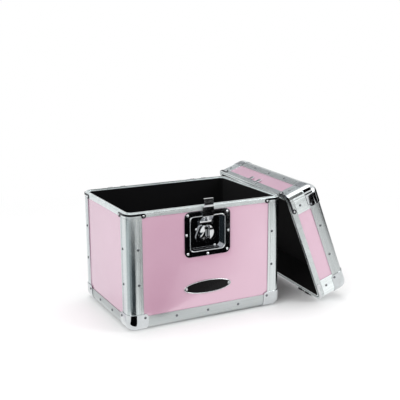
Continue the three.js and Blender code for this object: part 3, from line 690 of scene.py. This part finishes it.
def near_corners(side, *rivets):
    half = (WIDTH if side % 2 == 0 else DEPTH) / 2
    return [(way * (half - inset), z, out) for inset, z, out in rivets for way in (1, -1)]


case_rivets, lid_rivets, case_small, lid_small = [], [], [], []
for side in range(4):
    spots = along_flange(side, BASE_LINE) + near_corners(side, post_high, post_low, base_corner)
    case_rivets += on_side(case_space, side, spots)
    case_small += on_side(case_space, side, near_corners(side, rim_brace))
    spots = along_flange(side, LID_EDGE_LINE) + near_corners(side, lid_post, lid_corner)
    lid_rivets += on_side(lid_space, side, spots)
    lid_small += on_side(lid_space, side, near_corners(side, lid_brace))
print("rivets on the sides", len(case_rivets + case_small), "and", len(lid_rivets + lid_small))

# %% [markdown]
# Then come the rivets of the fittings: seven hold the dish, two hold the plate, two small ones sit
# on the floor of the dish, three hold each leaf of a hinge, and two hold the keeper on the lid's front.
# The dish's are measured from the latch's middle. Each list says where in x, how high, and how far
# out of the side, where below nought is behind it.

# %% Rivets of the fittings
FITTING_OUT, PLATE_OUT, DISH_FLOOR_OUT = -0.3, -0.6, -12.3
HINGE_X, HINGE_PITCH, HINGE_OFF_SEAT = 111, 20, 18
dish_places = [(49, 44), (-49, 44), (52, 0), (-52, 0), (49, -43), (-49, -43), (0, -47)]
dish_spots = [(x, LATCH_Z + up, FITTING_OUT) for x, up in dish_places]
plate_spots = [(53, PLATE_Z, PLATE_OUT), (-53, PLATE_Z, PLATE_OUT)]
dish_floor_spots = [(-22.5, 206.4, DISH_FLOOR_OUT), (23.5, 166, DISH_FLOOR_OUT)]
keeper_spots = [(19, 15, 3.0), (-19, 15, 3.0)]


def hinge_spots(z):
    across = [way * HINGE_X + x for way in (1, -1) for x in (-HINGE_PITCH, 0, HINGE_PITCH)]
    return [(x, z, FITTING_OUT) for x in across]


dish_rivets = on_side(case_space, 0, dish_spots + plate_spots)
case_small += on_side(case_space, 0, dish_floor_spots)
case_small += on_side(case_space, 2, hinge_spots(SEAT - HINGE_OFF_SEAT))
lid_small += on_side(lid_space, 2, hinge_spots(HINGE_OFF_SEAT))
lid_rivets += on_side(lid_space, 0, keeper_spots)
print("dish and plate", len(dish_rivets), "small ones", len(case_small), "and", len(lid_small))

# %% [markdown]
# The flanges on the lid's top and under the case are riveted too, about in the middle of the strip that
# is flat. The lid's top also has one on each rounded corner, and four at the handle's base.

# %% Rivets on top and underneath
UNDER_CASE = 0.4
FLANGE_IN, CORNER_IN = 25, 29
HANDLE_X, HANDLE_Y, HANDLE_PROUD = 69, 9, 0.1


def on_flat(space, height, outwards, spots):
    direction = (space.to_3x3() @ Vector((0, 0, outwards))).normalized()
    return [(space @ Vector((x * MM, y * MM, height * MM)), direction) for x, y in spots]


def four_corners(x, y):
    return [(a * x, b * y) for a in (1, -1) for b in (1, -1)]


def flange_spots():
    x, y = WIDTH / 2 - FLANGE_IN, DEPTH / 2 - FLANGE_IN
    long_sides = [(place, way * y) for place in (-LONG_PITCH, 0, LONG_PITCH) for way in (1, -1)]
    short_sides = [(way * x, place) for place in (-SHORT_PITCH, SHORT_PITCH) for way in (1, -1)]
    return long_sides + short_sides


case_rivets += on_flat(case_space, UNDER_CASE, -1, flange_spots())
lid_rivets += on_flat(lid_space, LID_TOP, 1, flange_spots())
corner_spots = four_corners(WIDTH / 2 - CORNER_IN, DEPTH / 2 - CORNER_IN)
lid_rivets += on_flat(lid_space, LID_TOP + CORNER_PROUD, 1, corner_spots)
lid_rivets += on_flat(lid_space, LID_TOP + HANDLE_PROUD, 1, four_corners(HANDLE_X, HANDLE_Y))
print("rivets in all", len(case_rivets + case_small + dish_rivets + lid_rivets + lid_small))

# %% [markdown]
# A rivet's head is a low dome. Copies of one head could be placed by hand or by a loop, but this is the
# plainest case for Geometry Nodes: one head, drawn once, and a list of places. Each place carries the
# direction that its head looks in. The tree squashes a ball to the head's radius and rise, puts one on
# each place, turns it to its direction, makes the copies real and gives them their metal. Half of each
# ball is inside the sheet, so the shape is closed and never hovers. The sockets are named, so that one
# tree serves large and small heads.

# %% The rivet tree
HEAD_SEGMENTS, HEAD_RINGS = 16, 8


def rivet_tree():
    tree = bpy.data.node_groups.new("rivet_heads", "GeometryNodeTree")
    sockets = {"Places": "Geometry", "Head radius": "Float", "Head rise": "Float", "Metal": "Material"}
    for name, kind in sockets.items():
        tree.interface.new_socket(name, in_out="INPUT", socket_type=f"NodeSocket{kind}")
    tree.interface.new_socket("Heads", in_out="OUTPUT", socket_type="NodeSocketGeometry")
    start = tree.nodes.new("NodeGroupInput")
    places, radius, rise, metal = [Flow(tree, start.outputs[name]) for name in sockets]
    ball = places.node("GeometryNodeMeshUVSphere", Segments=HEAD_SEGMENTS, Rings=HEAD_RINGS, Radius=radius)
    squash = places.node("ShaderNodeCombineXYZ", X=1.0, Y=1.0, Z=rise / radius)
    head = places.node("GeometryNodeTransform", Geometry=ball, Scale=squash)
    facing = places.node("GeometryNodeInputNamedAttribute", {"data_type": "FLOAT_VECTOR"}, Name="facing")
    turn = places.node("FunctionNodeAlignRotationToVector", {"axis": "Z"}, Vector=facing)
    heads = places.node("GeometryNodeInstanceOnPoints", Points=places, Instance=head, Rotation=turn)
    real = places.node("GeometryNodeRealizeInstances", Geometry=heads)
    smooth = places.node("GeometryNodeSetShadeSmooth", Geometry=real)
    plated = places.node("GeometryNodeSetMaterial", Geometry=smooth, Material=metal)
    feed(tree.nodes.new("NodeGroupOutput"), "Heads", plated)
    return tree


heads_tree = rivet_tree()
print("tree nodes", len(heads_tree.nodes))

# %% [markdown]
# One mesh of heads is made for each body, size and finish, so that the lid's rivets travel with the lid.
# The places become the points of a bare mesh, and the directions an attribute on them. A head's size is
# its radius and its rise. The rivets round the dish and on the plate are as bright as the latch, and so
# are the small ones.

# %% Rivet heads on each body
LARGE, SMALL = (3.1, 1.8), (2.6, 1.0)


def rivet_heads(name, rivets, body, size, metal):
    mesh = bpy.data.meshes.new(name)
    mesh.from_pydata([tuple(place) for place, _ in rivets], [], [])
    facing = mesh.attributes.new("facing", "FLOAT_VECTOR", "POINT")
    for item, (_, outwards) in zip(facing.data, rivets):
        item.vector = outwards
    piece = add_piece(name, mesh)
    heads = piece.modifiers.new("heads", "NODES")
    heads.node_group = heads_tree
    inputs = [item for item in heads_tree.interface.items_tree if item.in_out == "INPUT"]
    identifiers = {item.name: item.identifier for item in inputs}
    radius, rise = size
    heads[identifiers["Head radius"]] = radius * MM
    heads[identifiers["Head rise"]] = rise * MM
    heads[identifiers["Metal"]] = metal
    settle(piece)
    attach(piece, body)
    return piece


# The large rivets take the nickel whose darker tint is a painted dark reflection.
rivet_sets = [
    ("case_rivets", case_rivets, "case", LARGE, painted_dark_nickel),
    ("lid_rivets", lid_rivets, "lid", LARGE, painted_dark_nickel),
    ("dish_rivets", dish_rivets, "case", LARGE, bright),
    ("case_small_rivets", case_small, "case", SMALL, bright),
    ("lid_small_rivets", lid_small, "lid", SMALL, bright),
]
for rivet_set in rivet_sets:
    print(rivet_set[0], len(rivet_heads(*rivet_set).data.polygons), "faces")

# %% [markdown]
# ## The studio
#
# The case should seem to stand on paper that runs back into white. A curved backdrop could do that, but
# it needs lamps of its own. Here the floor is plain paper round the case, where it keeps the shadow,
# and turns into its own white light further off. Metal would mirror that paper as a dull grey, so for
# mirrors the floor turns white much nearer to the case. Each fade has a distance at which it starts
# and one at which it ends, in metres. The world is white too where it is seen or mirrored, and a
# little dimmer where it only fills the shadows.

# %% Floor and world
FLOOR_REACH = 8.0
SEEN_FADE, MIRRORED_FADE = (0.45, 1.3), (0.12, 0.3)
FILL_STRENGTH = 0.62
SQUARE = ((-1, -1), (1, -1), (1, 1), (-1, 1))


def flat_sheet(name, corners, material):
    mesh = bpy.data.meshes.new(name)
    mesh.from_pydata(corners, [], [tuple(range(len(corners)))])
    mesh.materials.append(material)
    piece = add_piece(name, mesh)
    return piece


def floor_paper():
    near_white, paper_white = (248, 248, 248), (250, 250, 250)
    material, shader, place = new_material("white_floor", Roughness=0.9)
    feed(shader, "Base Color", place.noise(3.0).spread().mix(near_white, paper_white))
    distance = place.vector("LENGTH", (0, 0, 0), out="Value")
    seen = distance.between(*SEEN_FADE) * place.node("ShaderNodeLightPath", out="Is Camera Ray")
    mirrored = distance.between(*MIRRORED_FADE) * place.node("ShaderNodeLightPath", out="Is Glossy Ray")
    paper, glow = Flow(place.tree, shader.outputs[0]), place.node("ShaderNodeEmission")
    blend = place.node("ShaderNodeMixShader", i0=seen + mirrored, i1=paper, i2=glow)
    feed(place.tree.nodes["Material Output"], "Surface", blend)
    return material


def white_world():
    world = bpy.data.worlds.new("studio")
    bpy.context.scene.world = world
    world.use_nodes = True
    background = world.node_tree.nodes["Background"]
    background.inputs["Color"].default_value = (1, 1, 1, 1)
    seen, mirrored, seen_through = [
        Flow(world.node_tree).node("ShaderNodeLightPath", out=f"Is {kind} Ray")
        for kind in ("Camera", "Glossy", "Transmission")
    ]
    shows = seen.math("MAXIMUM", mirrored).math("MAXIMUM", seen_through)
    feed(background, "Strength", shows.between(0.0, 1.0, FILL_STRENGTH, 1.0))


flat_sheet("floor", [(a * FLOOR_REACH, b * FLOOR_REACH, 0) for a, b in SQUARE], floor_paper())
white_world()
print("floor", 2 * FLOOR_REACH, "m wide, fill", FILL_STRENGTH)

# %% [markdown]
# Small lamps would leave hard shadows and hot spots on the coat. A product photographer uses soft boxes,
# which are large panes of light: one at the upper left, one at the right, and one overhead. All look at
# the middle of case and lid together.

# %% Lamps
LOOKED_AT = Vector((0, 0, 0.15))


def soft_lamp(name, place, size, watts):
    lamp = bpy.data.lights.new(name, "AREA")
    lamp.shape = "RECTANGLE"
    lamp.size, lamp.size_y = size
    lamp.energy = watts
    piece = add_piece(name, lamp)
    piece.location = place
    piece.rotation_euler = (LOOKED_AT - Vector(place)).to_track_quat("-Z", "Y").to_euler()


soft_lamp("key_lamp", (-1.9, -1.2, 2.0), size=(1.4, 1.4), watts=25)
soft_lamp("fill_lamp", (2.0, -1.9, 1.6), size=(1.2, 1.6), watts=27)
soft_lamp("top_lamp", (0.1, 0.4, 2.6), size=(1.8, 1.4), watts=22)
print("lamps", [light.name for light in bpy.data.lights])

# %% [markdown]
# ## Cards for the gloss
#
# In a white studio, bright metal has nothing dark to mirror and looks like plaster. Painting dark bands
# on it would look wrong from every other side, so a photographer stands cards round the object, and
# so does this lesson. Nothing but mirrors sees them. A glossy panel mirrors whatever its surface turns
# the eye towards. For the front that is the floor before the case, so its cards lie there. To say which
# part of the front a card serves, its outline is given in millimetres on the front itself, and each
# point is followed from the eye, off the front and down to the floor. The eye is the camera's place,
# in metres from the case's middle on the floor.

# %% From the front to the floor
EYE = Vector((-0.7825, -1.6369, 0.6553))
FRONT_Y = -DEPTH / 2 * MM
EYE_TO_FRONT = FRONT_Y - EYE.y


def mirrored_on_floor(x, z):
    point = Vector((x * MM, FRONT_Y, z * MM))
    onward = point - EYE
    onward.y = -onward.y
    return tuple((point - onward * (point.z / onward.z))[:2])


print("the foot of the latch mirrors the floor at", [round(v, 2) for v in mirrored_on_floor(0, 150)])

# %% [markdown]
# A plain card has one tone, with a slight cloud in it. The wide card before the front is graded
# instead: it goes from black on the left to white on the right, so that the pink grows paler to the
# right without an edge. The grading asks for each point of the card which column of the front it
# serves, which is the same path the other way round.

# %% Cards
BLACK, WHITE = (3, 3, 4), (252, 252, 252)
DARK_COLUMN, PALE_COLUMN = -0.13, 0.15


def graded(place):
    x = place.vector("DOT_PRODUCT", (1, 0, 0), out="Value") - middle.x
    before_front = middle.y + FRONT_Y - place.vector("DOT_PRODUCT", (0, 1, 0), out="Value")
    column = (x + before_front * (EYE.x / EYE_TO_FRONT)) / (1 + before_front / EYE_TO_FRONT)
    return column.between(DARK_COLUMN, PALE_COLUMN)


def card(name, corners, tone):
    material, shader, place = new_material(name + "_paper", Roughness=1.0, Specular_IOR_Level=0.0)
    if tone == "graded":
        feed(shader, "Base Color", graded(place).mix(BLACK, WHITE))
    else:
        feed(shader, "Base Color", place.noise(6.0).mix(tone, tuple(part + 4 for part in tone)))
    piece = flat_sheet(name, corners, material)
    piece.visible_camera = False
    piece.visible_diffuse = False
    piece.visible_shadow = False


def upright_card(name, centre, width, height, tone=BLACK):
    centre = Vector(centre)
    across = centre.cross(Vector((0, 0, 1))).normalized() * width / 2
    rise = Vector((0, 0, height / 2))
    card(name, [tuple(centre + a * across + b * rise) for a, b in SQUARE], tone)


def lying_card(name, outline, tone=BLACK, height=4):
    card(name, [(x + middle.x, y + middle.y, height * MM) for x, y in outline], tone)


print("cards go from", BLACK, "to", WHITE)

# %% [markdown]
# Two cards serve the glossy front, one just above the other. The wide graded one serves all of the
# pink. The dark one serves its left half and the latch, where the coat then mirrors nothing and
# the pink is at its fullest.

# %% Cards for the front
wide_front = [(-120, 24), (-40, 52), (58, 92), (148, 122), (150, 250), (-157, 250), (-157, 40)]
dark_front = [
    (-152, 34), (-100, 50), (-66, 132), (62, 138), (62, 252),
    (22, 256), (20, 290), (-20, 290), (-22, 256), (-152, 250),
]
lying_card("card_front_wide", [mirrored_on_floor(x, z) for x, z in wide_front], "graded", height=3)
lying_card("card_front_dark", [mirrored_on_floor(x, z) for x, z in dark_front])
print("cards for the front", len(wide_front), "and", len(dark_front), "corners")

# %% [markdown]
# The other cards serve the metal, and each is named after the piece that mirrors it or after its own
# place. Round posts and corners squeeze the whole room into a narrow strip, so the cards for them fan
# out from the case's foot, darker in the middle and paler outwards. Lying cards are given in metres
# from the case's middle, with their height above the floor in millimetres, and upright ones by their
# centre, width and height in the frame's metres.

# %% Cards for the metal
DARK_GREY, MIDDLE_GREY, LIGHT_GREY = (34, 42, 46), (118, 126, 129), (180, 188, 190)
OFF_WHITE, BEHIND_GREY = (232, 233, 235), (158, 160, 163)
foot = [(-0.22, -0.145), (-0.172, -0.145), (-0.145, -0.235), (-0.3, -0.235)]
post = [(-0.25, -0.237), (-0.16, -0.237), (0.14, -1.06), (-0.78, -1.06)]
post_middle = [(-0.287, -0.18), (-0.25, -0.237), (-0.78, -1.06), (-1.5, -0.82)]
post_outer = [(-0.29, -0.1), (-0.287, -0.18), (-1.5, -0.82), (-1.5, 0.2)]
left_side = [(-0.22, -0.1), (-0.22, 0.3), (-0.5, 1.4), (-0.9, 1.0)]
brace = [(-0.7, -1.075), (0.27, -1.075), (0.29, -1.16), (-0.7, -1.16)]
lid_tab = [(0.695, -1.05), (0.86, -1.05), (1.15, -1.75), (0.985, -1.75)]
above_lid = [(0.0, -1.75), (0.75, -1.75), (0.65, -0.4), (0.2, -0.4)]
lying_card("card_foot", foot)
lying_card("card_post", post, DARK_GREY)
lying_card("card_post_middle", post_middle, MIDDLE_GREY)
lying_card("card_post_outer", post_outer, LIGHT_GREY)
lying_card("card_left_side", left_side, OFF_WHITE)
lying_card("card_brace", brace)
lying_card("card_lid_tab", lid_tab)
upright_card("card_eye_side", (0.78 + middle.x, -1.6 + middle.y, 0.66), width=0.42, height=0.4)
lying_card("card_above_lid", above_lid, height=1500)
upright_card("card_right", (1.6, 0.1, 0.3), width=1.5, height=0.56)
upright_card("card_right_front", (1.3, -1.25, 0.15), width=1.3, height=0.29)
upright_card("card_left", (-1.3, -0.2, 0.25), width=0.5, height=0.5)
upright_card("card_behind", (0.95, 1.85, 1.5), width=1.7, height=1.1, tone=BEHIND_GREY)

# %% [markdown]
# ## The camera
#
# A camera could be placed by eye, but the case's straight edges give it: the points where its parallel
# edges meet fix the direction, and its known size fixes the distance. The direction is three
# angles in degrees: how far the camera turns to the right from looking straight at the front, how far
# it dips, and a slight roll. The lens is in millimetres on a sensor 36 mm wide.

# %% Camera
TURN, DIP, ROLL = [math.radians(angle) for angle in (27.0103, 12.6734, -0.3354)]
camera_data = bpy.data.cameras.new("camera")
camera_data.sensor_width = 36.0
camera_data.lens = 71.26
camera = add_piece("camera", camera_data)
turned = Matrix.Rotation(-TURN, 4, "Z") @ Matrix.Rotation(math.pi / 2 - DIP, 4, "X")
stand = Matrix.Translation(EYE + Vector((middle.x, middle.y, 0)))
camera.matrix_world = stand @ turned @ Matrix.Rotation(ROLL, 4, "Z")
bpy.context.scene.camera = camera
bpy.context.scene.view_settings.view_transform = "Standard"
print("camera", [round(v, 3) for v in camera.matrix_world.translation])
